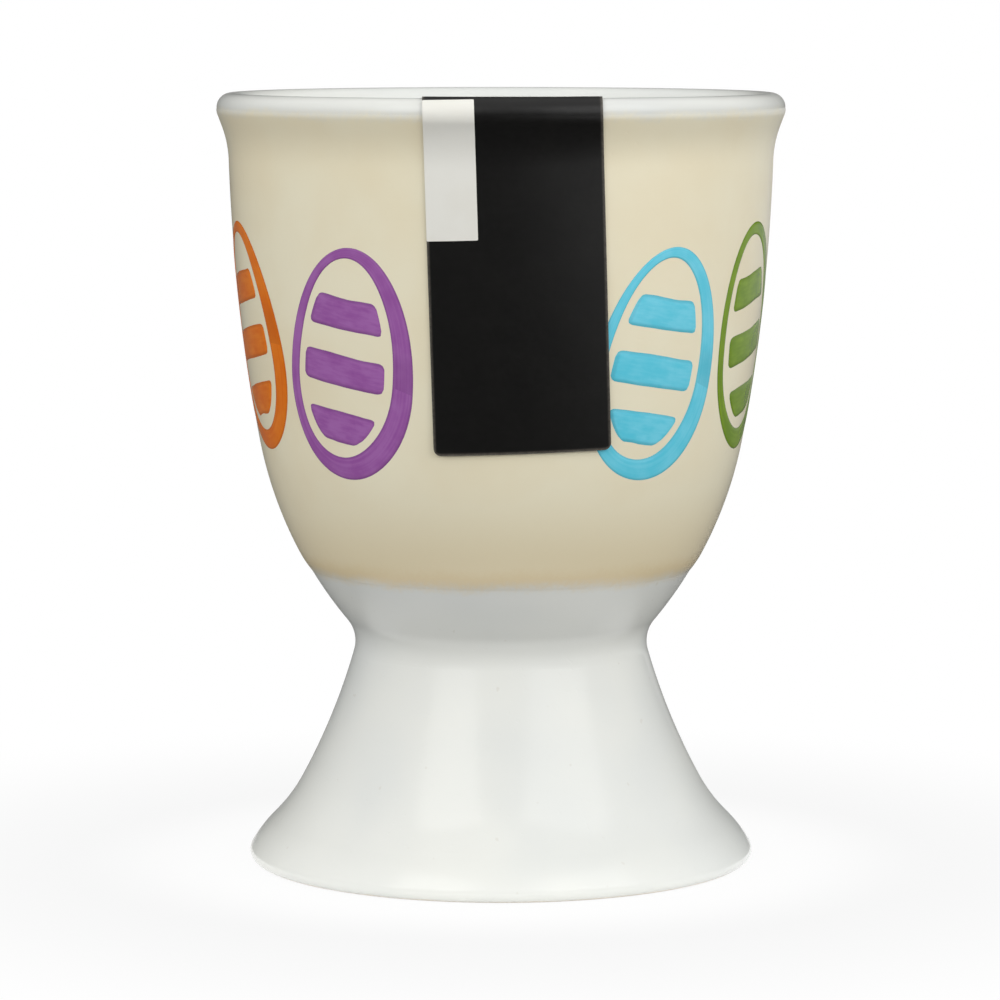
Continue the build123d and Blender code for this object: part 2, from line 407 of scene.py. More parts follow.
def wrap_tree():
    """Repeats a flat drawing at slots round the cup and lays it on the band, square to each slot."""
    sockets = [
        ("Band", "Object"),
        ("First Slot", "Int"),
        ("Slot Step", "Int"),
        ("Eggs", "Int"),
        ("Slot Angle", "Float"),
        ("Height", "Float"),
        ("Stagger", "Float"),
        ("Tilt", "Float"),
        ("Material", "Material"),
    ]
    tree = new_tree("wrap on band", sockets)
    source = tree.nodes.new("NodeGroupInput").outputs
    spots = add(tree, "GeometryNodePoints", Count=source["Eggs"])
    index = add(tree, "GeometryNodeInputIndex").outputs[0]
    number = maths(tree, "MULTIPLY_ADD", index, source["Slot Step"], source["First Slot"])
    settings = {"data_type": "FLOAT", "domain": "POINT"}
    store = "GeometryNodeStoreNamedAttribute"
    numbered = add(tree, store, settings, Geometry=spots.outputs[0], Name="slot", Value=number).outputs[0]
    copies = add(tree, "GeometryNodeInstanceOnPoints", Points=numbered, Instance=source["Geometry"])
    flat = add(tree, "GeometryNodeRealizeInstances", i0=copies.outputs[0])
    slot = add(tree, "GeometryNodeInputNamedAttribute", {"data_type": "FLOAT"}, Name="slot").outputs[0]
    side = maths(tree, "MULTIPLY_ADD", maths(tree, "MODULO", slot, 2.0), -2.0, 1.0)
    place = add(tree, "GeometryNodeInputPosition").outputs[0]
    tilt = maths(tree, "MULTIPLY", side, source["Tilt"])
    tilted = add(tree, "ShaderNodeVectorRotate", ABOUT_Z, Vector=place, Angle=tilt)
    split = add(tree, "ShaderNodeSeparateXYZ", i0=tilted.outputs[0]).outputs
    centre = maths(tree, "MULTIPLY_ADD", side, source["Stagger"], source["Height"])
    height = maths(tree, "ADD", split["Y"], centre)
    turn = maths(tree, "MULTIPLY", slot, source["Slot Angle"])
    ahead = add(tree, "ShaderNodeCombineXYZ", X=split["X"], Y=-0.1, Z=height).outputs[0]
    start = add(tree, "ShaderNodeVectorRotate", ABOUT_Z, Vector=ahead, Angle=turn).outputs[0]
    inwards = add(tree, "ShaderNodeCombineXYZ", Y=1.0).outputs[0]
    aim = add(tree, "ShaderNodeVectorRotate", ABOUT_Z, Vector=inwards, Angle=turn).outputs[0]
    band = add(tree, "GeometryNodeObjectInfo", Object=source["Band"]).outputs["Geometry"]
    shot = {"Source_Position": start, "Ray_Direction": aim, "Ray_Length": 0.2}
    ray = add(tree, "GeometryNodeRaycast", Target_Geometry=band, **shot)
    raised = add(tree, "ShaderNodeVectorMath", {"operation": "MULTIPLY_ADD"})
    tree.links.new(ray.outputs["Hit Normal"], raised.inputs[0])
    tree.links.new(split["Z"], raised.inputs[1])
    tree.links.new(ray.outputs["Hit Position"], raised.inputs[2])
    laid = add(tree, "GeometryNodeSetPosition", Geometry=flat.outputs[0], Position=raised.outputs[0])
    return finish_tree(tree, laid.outputs[0], source["Material"])


def run_tree(obj, tree, **inputs):
    """Runs a tree on an object and keeps the result as a plain mesh."""
    modifier = obj.modifiers.new(tree.name, "NODES")
    modifier.node_group = tree
    names = {item.name: item.identifier for item in tree.interface.items_tree if item.in_out == "INPUT"}
    for key, value in inputs.items():
        modifier[names[key.replace("_", " ")]] = value
    obj.update_tag()
    bpy.context.view_layer.update()
    graph = bpy.context.evaluated_depsgraph_get()
    result = obj.evaluated_get(graph)
    mesh = bpy.data.meshes.new_from_object(result, preserve_all_data_layers=True, depsgraph=graph)
    obj.modifiers.remove(modifier)
    obj.data = mesh
    mesh.name = obj.name
    return obj


def new_object(name, mesh):
    """Object in the scene for a mesh."""
    obj = bpy.data.objects.new(name, mesh)
    bpy.context.scene.collection.objects.link(obj)
    return obj


def close_shell(obj, crease):
    """Points a closed shell's faces outwards, and shades it smooth up to a crease angle."""
    shell = bmesh.new()
    shell.from_mesh(obj.data)
    bmesh.ops.recalc_face_normals(shell, faces=shell.faces)
    for face in shell.faces:
        face.smooth = True
    shell.to_mesh(obj.data)
    shell.free()
    obj.data.set_sharp_from_angle(angle=crease)


def lathe(name, profile, material, tree):
    """Closed shell of revolution from a profile."""
    mesh = bpy.data.meshes.new(name)
    vertices = [(point.x, 0, point.y) for point in profile]
    mesh.from_pydata(vertices, [(place, place + 1) for place in range(len(vertices) - 1)], [])
    obj = run_tree(new_object(name, mesh), tree, Turns=TURNS, Material=material)
    close_shell(obj, SHELL_CREASE)
    return obj


# Materials


def new_material(name):
    """Material with its tree, its shader and its Object coordinates."""
    material = bpy.data.materials.new(name)
    material.use_nodes = True
    tree = material.node_tree
    shader = tree.nodes["Principled BSDF"]
    place = tree.nodes.new("ShaderNodeTexCoord").outputs["Object"]
    return material, tree, shader, place


def noise(tree, place, size, detail=3.0, roughness=0.5):
    """Noise whose features are about size across."""
    node = add(tree, "ShaderNodeTexNoise", Vector=place, Scale=1 / size, Detail=detail, Roughness=roughness)
    return node.outputs["Fac"]


def ramp(tree, value, low, high, low_out=0.0, high_out=1.0):
    """Smooth step of a value between two limits."""
    settings = {"interpolation_type": "SMOOTHSTEP"}
    inputs = {"Value": value, "From_Min": low, "From_Max": high, "To_Min": low_out, "To_Max": high_out}
    return add(tree, "ShaderNodeMapRange", settings, **inputs).outputs["Result"]


def mix(tree, share, first, second):
    """Mix of two colours."""
    node = add(tree, "ShaderNodeMix", {"data_type": "RGBA"})
    for place, value in ((0, share), (6, first), (7, second)):
        if isinstance(value, bpy.types.NodeSocket):
            tree.links.new(value, node.inputs[place])
        else:
            node.inputs[place].default_value = value
    return node.outputs[2]


def bump(tree, height, strength, distance, **under):
    """Normal of a bump, over another normal where one is given."""
    node = add(tree, "ShaderNodeBump", Strength=strength, Distance=distance, Height=height, **under)
    return node.outputs[0]


def linear(red, green, blue):
    """Colour given as it looks on screen, from 0 to 255, as the linear colour that shaders use."""

    def to_linear(value):
        shade = value / 255
        return shade / 12.92 if shade <= 0.04045 else ((shade + 0.055) / 1.055) ** 2.4

    return (to_linear(red), to_linear(green), to_linear(blue), 1.0)


WHITE_GLAZE = linear(223, 224, 219)
COOL_GLAZE = linear(216, 218, 215)
BARE_CLAY = linear(222, 214, 200)
CREAM = linear(238, 231, 205)
WARM_CREAM = linear(230, 215, 180)
DEEP_CREAM = linear(224, 203, 160)
BLACK_PAPER = linear(8, 7, 6)
WORN_BLACK = linear(15, 14, 12)
PAPER_CORE = linear(120, 114, 105)
WHITE_PAPER = linear(231, 230, 223)
AGED_PAPER = linear(227, 225, 216)

ENAMELS = {
    "blue": (linear(90, 202, 226), linear(116, 212, 234)),
    "green": (linear(104, 138, 4), linear(124, 156, 18)),
    "pink": (linear(206, 92, 122), linear(220, 122, 146)),
    "orange": (linear(222, 108, 4), linear(232, 126, 22)),
    "purple": (linear(148, 84, 158), linear(164, 104, 174)),
}


def glaze_surface(tree, shader, place, smooth=0.13, rough=0.2):
    """Gloss of a fired glaze: slow waves, faint orange peel and a few pinholes."""
    waves = noise(tree, place, 9 * MM, 2.0)
    peel = noise(tree, place, 0.9 * MM, 2.0)
    pits = ramp(tree, noise(tree, place, 0.45 * MM, 0.0), 0.2, 0.26)
    slow = bump(tree, waves, 0.35, 0.12 * MM)
    fine = bump(tree, peel, 0.25, 0.006 * MM, Normal=slow)
    pitted = bump(tree, pits, 0.3, 0.01 * MM, Normal=fine)
    tree.links.new(pitted, shader.inputs["Normal"])
    tree.links.new(ramp(tree, waves, 0.3, 0.7, smooth, rough), shader.inputs["Roughness"])
    shader.inputs["IOR"].default_value = 1.5


def white_glaze_colour(tree, place):
    """White of the glazed body, a little cooler in patches and with a few faint specks."""
    patches = ramp(tree, noise(tree, place, 14 * MM, 2.0), 0.35, 0.7)
    base = mix(tree, patches, WHITE_GLAZE, COOL_GLAZE)
    specks = ramp(tree, noise(tree, place, 0.6 * MM, 0.0), 0.84, 0.88, 0.0, 0.2)
    return mix(tree, specks, base, linear(190, 182, 168))


def height_of(tree, place):
    """Height above the table."""
    return add(tree, "ShaderNodeSeparateXYZ", i0=place).outputs["Z"]


def radius_of(tree, place):
    """Distance from the cup's axis."""
    split = add(tree, "ShaderNodeSeparateXYZ", i0=place).outputs
    x_square = maths(tree, "MULTIPLY", split["X"], split["X"])
    y_square = maths(tree, "MULTIPLY", split["Y"], split["Y"])
    return maths(tree, "SQRT", maths(tree, "ADD", x_square, y_square))


def ragged_height(tree, place, amount):
    """Height with a sprayed, uneven edge."""
    cloud = maths(tree, "SUBTRACT", noise(tree, place, 3.5 * MM, 3.0), 0.5)
    dust = maths(tree, "SUBTRACT", noise(tree, place, 0.35 * MM, 2.0), 0.5)
    drift = maths(tree, "MULTIPLY_ADD", dust, 0.7, cloud)
    return maths(tree, "MULTIPLY_ADD", drift, amount, height_of(tree, place))


def cream_share(tree, place):
    """How much of the sprayed cream lies at a height, from none to all."""
    ragged = ragged_height(tree, place, 0.9 * MM)
    above = ramp(tree, ragged, BAND_LOW - 0.5 * MM, BAND_LOW + 1.1 * MM)
    below = ramp(tree, ragged, BAND_HIGH - 0.9 * MM, BAND_HIGH + 0.4 * MM, 1.0, 0.0)
    return maths(tree, "MULTIPLY", above, below)


def cream_colour(tree, place):
    """Cream of the band, warmer in clouds and towards its lower edge, and darkest and warmest along that
    edge.
    """
    clouds = ramp(tree, noise(tree, place, 11 * MM, 3.0), 0.3, 0.7)
    # Cream made warmer and darker towards the band's lower edge
    low_on_band = ramp(tree, height_of(tree, place), BAND_LOW, BAND_LOW + 10 * MM, 0.9, 0.0)
    deeper_share = maths(tree, "MAXIMUM", low_on_band, maths(tree, "MULTIPLY", clouds, 0.45))
    ragged = ragged_height(tree, place, 0.9 * MM)
    # Darkest and warmest cream in a strip along the band's lower edge
    bead = ramp(tree, ragged, BAND_LOW + 0.5 * MM, BAND_LOW + 2.2 * MM, 0.7, 0.0)
    return mix(tree, bead, mix(tree, deeper_share, CREAM, WARM_CREAM), DEEP_CREAM)


def porcelain():
    """Clear glaze over white porcelain, with the overspray of the band on the outside of the bowl."""
    material, tree, shader, place = new_material("white glazed porcelain")
    radius = radius_of(tree, place)
    height = height_of(tree, place)
    lip_side = ramp(tree, radius, LIP_CENTRE.x, LIP_CENTRE.x + 0.8 * MM)
    at_lip = ramp(tree, height, RIM_HEIGHT - 4 * MM, RIM_HEIGHT - 3 * MM)
    heel_side = ramp(tree, radius, HEEL_RADIUS - 2 * MM, HEEL_RADIUS - 1 * MM)
    at_heel = ramp(tree, height, BAND_LOW + 1.4 * MM, BAND_LOW + 1.6 * MM, 1.0, 0.0)
    near_lip = maths(tree, "MULTIPLY", lip_side, at_lip)
    near_heel = maths(tree, "MULTIPLY", heel_side, at_heel)
    share = maths(tree, "MULTIPLY", maths(tree, "ADD", near_lip, near_heel), cream_share(tree, place))
    colour = mix(tree, share, white_glaze_colour(tree, place), cream_colour(tree, place))
    tree.links.new(colour, shader.inputs["Base Color"])
    glaze_surface(tree, shader, place)
    return material


def foot_porcelain():
    """Clear glaze over white porcelain, wiped off the ring that the foot stands on."""
    material, tree, shader, place = new_material("white glazed porcelain with a bare ring")
    waver = maths(tree, "SUBTRACT", noise(tree, place, 2.5 * MM, 2.0), 0.5)
    height = maths(tree, "MULTIPLY_ADD", waver, 0.25 * MM, height_of(tree, place))
    bare = ramp(tree, height, 0.1 * MM, 0.22 * MM, 1.0, 0.0)
    grain = noise(tree, place, 0.25 * MM, 3.0)
    clay = mix(tree, grain, BARE_CLAY, linear(236, 230, 220))
    tree.links.new(mix(tree, bare, white_glaze_colour(tree, place), clay), shader.inputs["Base Color"])
    glaze_surface(tree, shader, place)
    gloss = shader.inputs["Roughness"].links[0].from_socket
    dull = maths(tree, "MULTIPLY_ADD", bare, 0.6, gloss)
    tree.links.new(dull, shader.inputs["Roughness"])
    return material


def cream_glaze():
    """Sprayed cream glaze that fades into the white at both edges."""
    material, tree, shader, place = new_material("sprayed cream glaze")
    colour = mix(tree, cream_share(tree, place), white_glaze_colour(tree, place), cream_colour(tree, place))
    tree.links.new(colour, shader.inputs["Base Color"])
    glaze_surface(tree, shader, place)
    return material


def enamel(colour):
    """Brushed enamel of one colour, streaked along the stroke, deeper at its edges and its overlap."""
    deep, pale = ENAMELS[colour]
    material, tree, shader, place = new_material(f"{colour} enamel")
    stroke = add(tree, "ShaderNodeUVMap", {"uv_map": "Stroke"}).outputs[0]
    streaked = add(tree, "ShaderNodeMapping", Vector=stroke, Scale=(4.0, 7.0, 1.0)).outputs[0]
    streaks = add(tree, "ShaderNodeTexNoise", Vector=streaked, Scale=1.0, Detail=4.0).outputs["Fac"]
    clouds = noise(tree, place, 2.2 * MM, 3.0)
    uneven = maths(tree, "MULTIPLY_ADD", clouds, 0.6, maths(tree, "MULTIPLY", streaks, 0.5))
    thin = ramp(tree, uneven, 0.4, 0.72)
    split = add(tree, "ShaderNodeSeparateXYZ", i0=stroke).outputs
    overlap = ramp(tree, split["X"], 0.03, 0.06, 0.3, 0.0)
    from_middle = maths(tree, "ABSOLUTE", maths(tree, "SUBTRACT", split["Y"], 0.5))
    pooled = ramp(tree, from_middle, 0.36, 0.5, 0.0, 0.55)
    base = mix(tree, thin, deep, pale)
    darker = tuple(shade * 0.6 for shade in deep[:3]) + (1.0,)
    deeper_share = maths(tree, "MAXIMUM", overlap, pooled)
    tree.links.new(mix(tree, deeper_share, base, darker), shader.inputs["Base Color"])
    glaze_surface(tree, shader, place, 0.15, 0.24)
    return material


def from_edge(tree, share):
    """How far a share of the way across is from the nearer edge."""
    from_middle = maths(tree, "ABSOLUTE", maths(tree, "SUBTRACT", share, 0.5))
    return maths(tree, "SUBTRACT", 0.5, from_middle)


def paper(name, face, worn, core, gloss):
    """Coated paper with fibre under its coating, rubbed towards its cut edges."""
    material, tree, shader, place = new_material(name)
    sheet = add(tree, "ShaderNodeUVMap", {"uv_map": "Sheet"}).outputs[0]
    split = add(tree, "ShaderNodeSeparateXYZ", i0=sheet).outputs
    from_end = maths(tree, "MULTIPLY", from_edge(tree, split["Y"]), 3.0)
    border = maths(tree, "MINIMUM", from_edge(tree, split["X"]), from_end)
    fibre = noise(tree, place, 0.35 * MM, 5.0, 0.65)
    clouds = noise(tree, place, 3 * MM, 3.0)
    rubbed = maths(tree, "MULTIPLY", ramp(tree, border, 0.002, 0.02, 0.9, 0.0), fibre)
    base = mix(tree, ramp(tree, clouds, 0.35, 0.75, 0.0, 0.6), face, worn)
    tree.links.new(mix(tree, rubbed, base, core), shader.inputs["Base Color"])
    tree.links.new(ramp(tree, fibre, 0.25, 0.75, gloss - 0.06, gloss + 0.08), shader.inputs["Roughness"])
    grain = bump(tree, fibre, 0.35, 0.012 * MM)
    ripple = bump(tree, clouds, 0.25, 0.1 * MM, Normal=grain)
    tree.links.new(ripple, shader.inputs["Normal"])
    shader.inputs["IOR"].default_value = 1.48
    shader.inputs["Specular IOR Level"].default_value = 0.42
    return material


# Painted eggs

EGG_WIDTH = tau * SHOULDER.x / EGG_SLOTS - EGG_GAP


def egg_outline(angle, inset):
    """Point on the egg's outline, drawn inset from its full size."""
    height = EGG_POINTED_HEIGHT if sin(angle) > 0 else EGG_BLUNT_HEIGHT
    return Vector(((EGG_WIDTH / 2 - inset) * cos(angle), (height - inset) * sin(angle)))


def brush_weight(angle, phase):
    """Uneven pressure of a brush that goes once round, from about -1 to 1."""
    slow = 0.6 * sin(2 * angle + phase)
    middling = 0.3 * sin(3 * angle + 2 * phase)
    quick = 0.1 * sin(7 * angle + 3 * phase)
    return slow + middling + quick


def brush_faces(drawing, stroke_map, loops, closed):
    """Skins loops of (vertex, along, across) one after the other, round to the first one if closed."""
    pairs = list(zip(loops, loops[1:]))
    if closed:
        pairs.append((loops[-1], [(vertex, 1.0, across) for vertex, along, across in loops[0]]))
    for loop, following in pairs:
        for place in range(len(loop)):
            beside = (place + 1) % len(loop)
            corners = (loop[place], loop[beside], following[beside], following[place])
            face = drawing.faces.new([vertex for vertex, along, across in corners])
            for face_loop, (vertex, along, across) in zip(face.loops, corners):
                face_loop[stroke_map].uv = (along, across)


def brush_section(drawing, spot_at, along, fullness):
    """Loop of vertices round one cross section of a stroke: domed on top, its back sunk in the glaze."""
    spots = [spot_at(place / STROKE_COLUMNS) for place in range(STROKE_COLUMNS + 1)]
    loop = []
    for place, spot in enumerate(spots):
        share = place / STROKE_COLUMNS
        dome = fullness * (1 - (2 * share - 1) ** 10)
        loop.append((drawing.verts.new((spot.x, spot.y, PRINT_THICKNESS * dome)), along, share))
    for place in reversed(range(STROKE_COLUMNS + 1)):
        spot = spots[place]
        vertex = drawing.verts.new((spot.x, spot.y, -PRINT_BED))
        loop.append((vertex, along, place / STROKE_COLUMNS))
    return loop


def outline_stroke(drawing, stroke_map, phase):
    """Brush stroke that goes once round the egg."""
    loops = []
    for step in range(OUTLINE_STEPS):
        angle = tau * step / OUTLINE_STEPS
        edge = egg_outline(angle, 0.4 * BRUSH_WOBBLE * (1 + brush_weight(angle, phase)))
        inset = EGG_STROKE + BRUSH_WOBBLE * brush_weight(angle, phase + 2.1)
        core = egg_outline(angle, inset) + EGG_STROKE_SHIFT
        along = step / OUTLINE_STEPS
        loops.append(brush_section(drawing, lambda share: edge.lerp(core, share), along, 1.0))
    brush_faces(drawing, stroke_map, loops, True)


def stripe_reach(height, side):
    """How far a stripe runs from the egg's middle at a height, to the left (-1) or the right (1)."""
    inset = EGG_STROKE + STRIPE_GAP
    tall = (EGG_POINTED_HEIGHT if height > EGG_STROKE_SHIFT.y else EGG_BLUNT_HEIGHT) - inset
    level = min(abs(height - EGG_STROKE_SHIFT.y) / tall, 1.0)
    return EGG_STROKE_SHIFT.x + side * (EGG_WIDTH / 2 - inset) * sqrt(1 - level**2)


def stripe_stroke(drawing, stroke_map, middle, phase):
    """Broad brush stroke across the egg, with its ends cut along the egg and their corners rounded."""
    loops = []
    for step in range(STRIPE_STEPS + 1):
        along = step / STRIPE_STEPS
        end = min(along, 1 - along) / STRIPE_END_SHARE
        corner = STRIPE_CORNER * (1 - sqrt(1 - (1 - min(end, 1.0)) ** 2))
        lower_waver = BRUSH_WOBBLE * (1 + brush_weight(pi * along, phase)) / 2
        upper_waver = BRUSH_WOBBLE * (1 + brush_weight(pi * along, phase + 1.9)) / 2
        low = middle - STRIPE_HEIGHT / 2 + corner + lower_waver
        high = middle + STRIPE_HEIGHT / 2 - corner - upper_waver

        def spot_at(share):
            height = low + (high - low) * share
            left, right = stripe_reach(height, -1), stripe_reach(height, 1)
            return Vector((left + (right - left) * along, height))

        loops.append(brush_section(drawing, spot_at, along, min(end * 2, 1.0)))
    brush_faces(drawing, stroke_map, loops, False)
    for loop in (loops[0], loops[-1]):
        face = drawing.faces.new([vertex for vertex, along, across in loop])
        for face_loop, (vertex, along, across) in zip(face.loops, loop):
            face_loop[stroke_map].uv = (along, across)


def egg_drawing(name, phase):
    """Flat drawing of a striped egg."""
    drawing = bmesh.new()
    stroke_map = drawing.loops.layers.uv.new("Stroke")
    outline_stroke(drawing, stroke_map, phase)
    for number in range(STRIPE_COUNT):
        middle = number * STRIPE_PITCH - STRIPE_DROP
        stripe_stroke(drawing, stroke_map, middle, phase + STRIPE_PHASE * number)
    bmesh.ops.recalc_face_normals(drawing, faces=drawing.faces)
    mesh = bpy.data.meshes.new(name)
    drawing.to_mesh(mesh)
    drawing.free()
    return mesh


def painted_eggs(colour, phase, band, tree):
    """All eggs of one colour, laid on the band."""
    name = f"{colour}_eggs"
    first, step, count = EGG_SLOT_RUNS[colour]
    obj = new_object(name, egg_drawing(name, phase))
    run_tree(
        obj,
        tree,
        Band=band,
        First_Slot=first,
        Slot_Step=step,
        Eggs=count,
        Slot_Angle=tau / EGG_SLOTS,
        Height=SHOULDER.y + EGG_RISE,
        Stagger=EGG_STAGGER,
        Tilt=EGG_TILT,
        Material=enamel(colour),
    )
    close_shell(obj, BRUSH_CREASE)
    return obj


# Label


def walk(stations):
    """Lengths along a profile, starting at 0."""
    lengths = [0.0]
    for (before, heading), (after, next_heading) in zip(stations, stations[1:]):
        lengths.append(lengths[-1] + (after - before).length)
    return lengths


def station_at(stations, lengths, length):
    """Point and heading at a length along a profile."""
    place = 0
    while place < len(lengths) - 2 and lengths[place + 1] < length:
        place += 1
    span = lengths[place + 1] - lengths[place]
    share = (length - lengths[place]) / span if span > 0 else 0.0
    (before, heading), (after, next_heading) = stations[place], stations[place + 1]
    return before.lerp(after, share), heading.lerp(next_heading, share).normalized()


def length_at_drop(stations, lengths, drop, outside):
    """Length along the saddle where it has come down from the rim by drop, outside or inside the bowl."""
    crest = max(range(len(stations)), key=lambda place: stations[place][0].y)
    places = range(crest, len(stations)) if outside else range(crest, -1, -1)
    for place in places:
        if RIM_HEIGHT - stations[place][0].y >= drop:
            return lengths[place]
    return lengths[places[-1]]


def drape():
    """Path of the label's back: inside the bowl, over the bare rim and out over the films on the wall."""
    lift = LABEL_GAP + FILMS_UNDER_LABEL
    crest = LIP_CENTRE + Vector((0, WALL / 2 + LABEL_GAP))
    lip_end = LIP_CENTRE + Vector((cos(LIP_LEAN), -sin(LIP_LEAN))) * (WALL / 2 + lift)
    over = arc_to(crest, Vector((1, 0)), lip_end, 16)
    path = offset(INSIDE, LABEL_GAP) + over + offset(FLARE + BELLY, lift)
    stations = [path[0]]
    for station in path[1:]:
        before, heading = stations[-1]
        gap = (station[0] - before).length
        if gap < SAME_PLACE:
            continue
        pieces = max(1, ceil(gap / DRAPE_STEP))
        for piece in range(1, pieces + 1):
            share = piece / pieces
            between = heading.lerp(station[1], share).normalized()
            stations.append((before.lerp(station[0], share), between))
    return stations


def sheet_columns(width, corner):
    """Places across a sheet, closer together where its corners are rounded."""
    rounded = [corner * (1 - cos(radians(15 * step))) for step in range(7)]
    span = width - 2 * corner
    straight = [corner + span * step / SHEET_COLUMNS for step in range(1, SHEET_COLUMNS)]
    return rounded + straight + [width - place for place in reversed(rounded)]


def sheet_over_rim(name, material, left, width, ends, lift, thickness, corner, curl, rows):
    """Paper along the drape between two sides and two lengths, lifted off the label's back."""
    top_length, bottom_length = ends
    stations = drape()
    lengths = walk(stations)
    sides = [left + place for place in sheet_columns(width, corner)]
    columns = len(sides) - 1
    sheet = bmesh.new()
    sheet_map = sheet.loops.layers.uv.new("Sheet")

    def spot(column, row, height):
        side = sides[column]
        centred = side - left - width / 2
        from_corner = max(abs(centred) - (width / 2 - corner), 0.0)
        rounding = corner - sqrt(max(corner**2 - from_corner**2, 0.0))
        end = bottom_length - rounding - side * sin(LABEL_LEAN)
        start = top_length + rounding - side * sin(LABEL_LEAN)
        point, heading = station_at(stations, lengths, start + (end - start) * row / rows)
        down_share = max(row / rows - (1 - LABEL_CURL_SHARE), 0.0) / LABEL_CURL_SHARE
        side_share = abs(2 * centred / width)
        raised = height + curl * down_share**2 * (0.35 + 0.65 * side_share**3)
        point = point + left_of(heading) * raised
        x = LABEL_CENTRE_X + side * cos(LABEL_LEAN) + (RIM_HEIGHT - point.y) * sin(LABEL_LEAN)
        return Vector((x, -sqrt(max(point.x**2 - x**2, 0.0)), point.y))

    layers = []
    for height in (lift, lift + thickness):
        grid = []
        for column in range(columns + 1):
            grid.append([sheet.verts.new(spot(column, row, height)) for row in range(rows + 1)])
        layers.append(grid)

    def patch(corners, places):
        face = sheet.faces.new(corners)
        for loop, (column, row) in zip(face.loops, places):
            loop[sheet_map].uv = ((sides[column] - left) / width, row / rows)

    for grid in layers:
        for column in range(columns):
            for row in range(rows):
                places = [(column, row), (column + 1, row), (column + 1, row + 1), (column, row + 1)]
                patch([grid[c][r] for c, r in places], places)
    under, over = layers
    border = [(column, 0) for column in range(columns)]
    border += [(columns, row) for row in range(rows)]
    border += [(column, rows) for column in range(columns, 0, -1)]
    border += [(0, row) for row in range(rows, 0, -1)]
    for here, there in zip(border, border[1:] + border[:1]):
        (column, row), (next_column, next_row) = here, there
        lower = [under[column][row], under[next_column][next_row]]
        upper = [over[next_column][next_row], over[column][row]]
        patch(lower + upper, [here, there, there, here])
    mesh = bpy.data.meshes.new(name)
    sheet.to_mesh(mesh)
    sheet.free()
    mesh.materials.append(material)
    obj = new_object(name, mesh)
    close_shell(obj, PAPER_CREASE)
    return obj


def paper_label():
    """Black label folded over the rim."""
    stations = drape()
    lengths = walk(stations)
    inner_end = length_at_drop(stations, lengths, LABEL_INNER_DROP, False)
    front_end = length_at_drop(stations, lengths, LABEL_DROP, True)
    material = paper("black coated paper", BLACK_PAPER, WORN_BLACK, PAPER_CORE, 0.34)
    return sheet_over_rim(
        "paper_label",
        material,
        left=-LABEL_WIDTH / 2,
        width=LABEL_WIDTH,
        ends=(inner_end, front_end),
        lift=0.0,
        thickness=LABEL_THICKNESS,
        corner=LABEL_CORNER,
        curl=LABEL_CURL,
        rows=LABEL_ROWS,
    )


def label_panel():
    """White panel on the label's upper left corner."""
    stations = drape()
    lengths = walk(stations)
    left = -LABEL_WIDTH / 2
    side_drop = -(left + PANEL_WIDTH / 2) * sin(LABEL_LEAN)
    top = length_at_drop(stations, lengths, side_drop, True) - side_drop
    bottom = length_at_drop(stations, lengths, PANEL_DROP, True)
    material = paper("white coated paper", WHITE_PAPER, AGED_PAPER, AGED_PAPER, 0.42)
    return sheet_over_rim(
        "white_panel",
        material,
        left=left,
        width=PANEL_WIDTH,
        ends=(top, bottom),
        lift=LABEL_THICKNESS + PANEL_LIFT,
        thickness=PANEL_THICKNESS,
        corner=PANEL_CORNER,
        curl=0.0,
        rows=PANEL_ROWS,
    )


# The cup


def keep(obj, slot, *nodes):
    """Puts a finished piece on the cup's one body in place of its CAD nodes."""
    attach(obj, "root")
    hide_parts(*nodes)


def build_cup():
    """Makes every piece of the cup."""
    turning = lathe_tree()
    wrapping = wrap_tree()
    white = porcelain()
    keep(lathe("porcelain_bowl", bowl_profile(), white, turning), "porcelain", "bowl")
    keep(lathe("porcelain_foot", foot_profile(), foot_porcelain(), turning), "porcelain", "foot")
    keep(lathe("wiped_slip_bead", slip_profile(), white, turning), "joint_slip", "slip_joint")
    band = lathe("cream_band", band_profile(), cream_glaze(), turning)
    keep(band, "cream_glaze", "cream_glaze_band")
    for number, colour in enumerate(EGG_SLOT_RUNS):
        eggs = painted_eggs(colour, COLOUR_PHASE * number, band, wrapping)
        keep(eggs, f"{colour}_enamel", f"{colour}_transfers")
    keep(paper_label(), "black_paper", "label")
    keep(label_panel(), "white_ink", "label_panel")


# Studio


